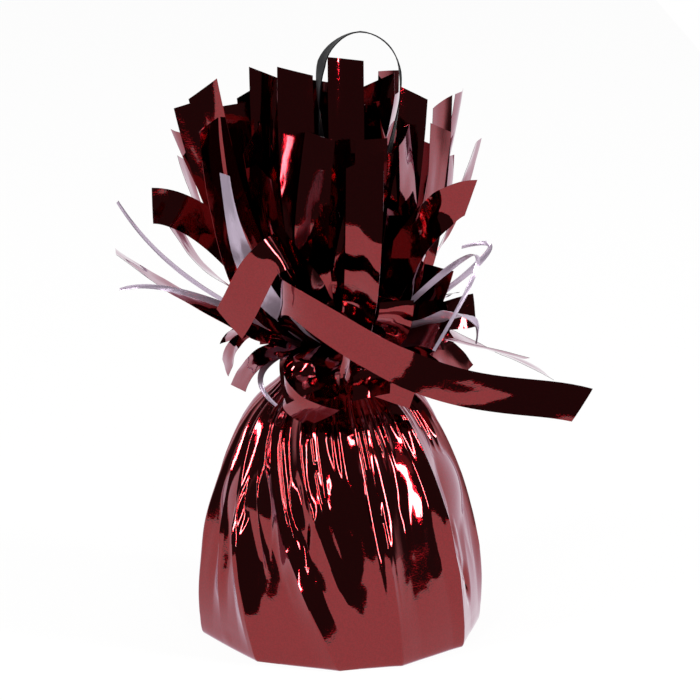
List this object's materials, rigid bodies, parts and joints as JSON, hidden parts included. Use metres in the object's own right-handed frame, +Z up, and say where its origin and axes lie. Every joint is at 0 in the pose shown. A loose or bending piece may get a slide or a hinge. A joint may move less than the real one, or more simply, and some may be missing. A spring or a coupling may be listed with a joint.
{
  "type": "balloon weight",
  "caption": "Dome-shaped balloon weight in gathered burgundy metallised film, with a tied neck, a fringe of film strips and a ribbon loop for tying balloon strings.",
  "frame": {"origin": "centre of the base, on the surface it stands on", "axes": "+Z up from the base to the ribbon loop, -Y toward the front, +X to the right seen from the front"},
  "size_m": [0.1071, 0.0853, 0.1405],
  "materials": {
    "plaster_core": "matt set plaster",
    "burgundy_film": "metallised, mirror-like",
    "tie_band": "plain",
    "loop_ribbon": "glossy"
  },
  "bodies": {
    "root": {"foil_wrap": "burgundy_film", "fringe_back_left": "burgundy_film", "fringe_back_left_droop": "burgundy_film", "fringe_back_left_low": "burgundy_film", "fringe_back_low": "burgundy_film", "fringe_back_middle": "burgundy_film", "fringe_back_right": "burgundy_film", "fringe_back_right_low": "burgundy_film", "fringe_back_right_up": "burgundy_film", "fringe_back_up": "burgundy_film", "fringe_front_fold": "burgundy_film", "fringe_front_left_facet": "burgundy_film", "fringe_front_left_high": "burgundy_film", "fringe_front_left_hook": "burgundy_film", "fringe_front_left_red": "burgundy_film", "fringe_front_left_up": "burgundy_film", "fringe_front_right_up": "burgundy_film", "fringe_front_short": "burgundy_film", "fringe_inner_back_left": "burgundy_film", "fringe_inner_back_right": "burgundy_film", "fringe_inner_front_left": "burgundy_film", "fringe_inner_middle": "burgundy_film", "fringe_inner_right": "burgundy_film", "fringe_inner_right_low": "burgundy_film", "fringe_left_diamond": "burgundy_film", "fringe_left_flag": "burgundy_film", "fringe_left_high_back": "burgundy_film", "fringe_left_high_front": "burgundy_film", "fringe_left_leaf": "burgundy_film", "fringe_left_pale": "burgundy_film", "fringe_left_slant": "burgundy_film", "fringe_left_tab": "burgundy_film", "fringe_left_thin_high": "burgundy_film", "fringe_left_thin_low": "burgundy_film", "fringe_left_under": "burgundy_film", "fringe_long_fold": "burgundy_film", "fringe_right_broad": "burgundy_film", "fringe_right_dark": "burgundy_film", "fringe_right_droop": "burgundy_film", "fringe_right_far": "burgundy_film", "fringe_right_front_dark": "burgundy_film", "fringe_right_leaf": "burgundy_film", "fringe_right_low": "burgundy_film", "fringe_right_paddle": "burgundy_film", "fringe_right_peak": "burgundy_film", "fringe_right_pink": "burgundy_film", "fringe_right_stub": "burgundy_film", "fringe_right_tab": "burgundy_film", "fringe_right_thin_front": "burgundy_film", "fringe_right_thin_hook": "burgundy_film", "fringe_shoulder_tip": "burgundy_film", "neck_tie": "tie_band", "ribbon_loop": "loop_ribbon", "weight_block": "plaster_core"}
  },
  "joints": []
}
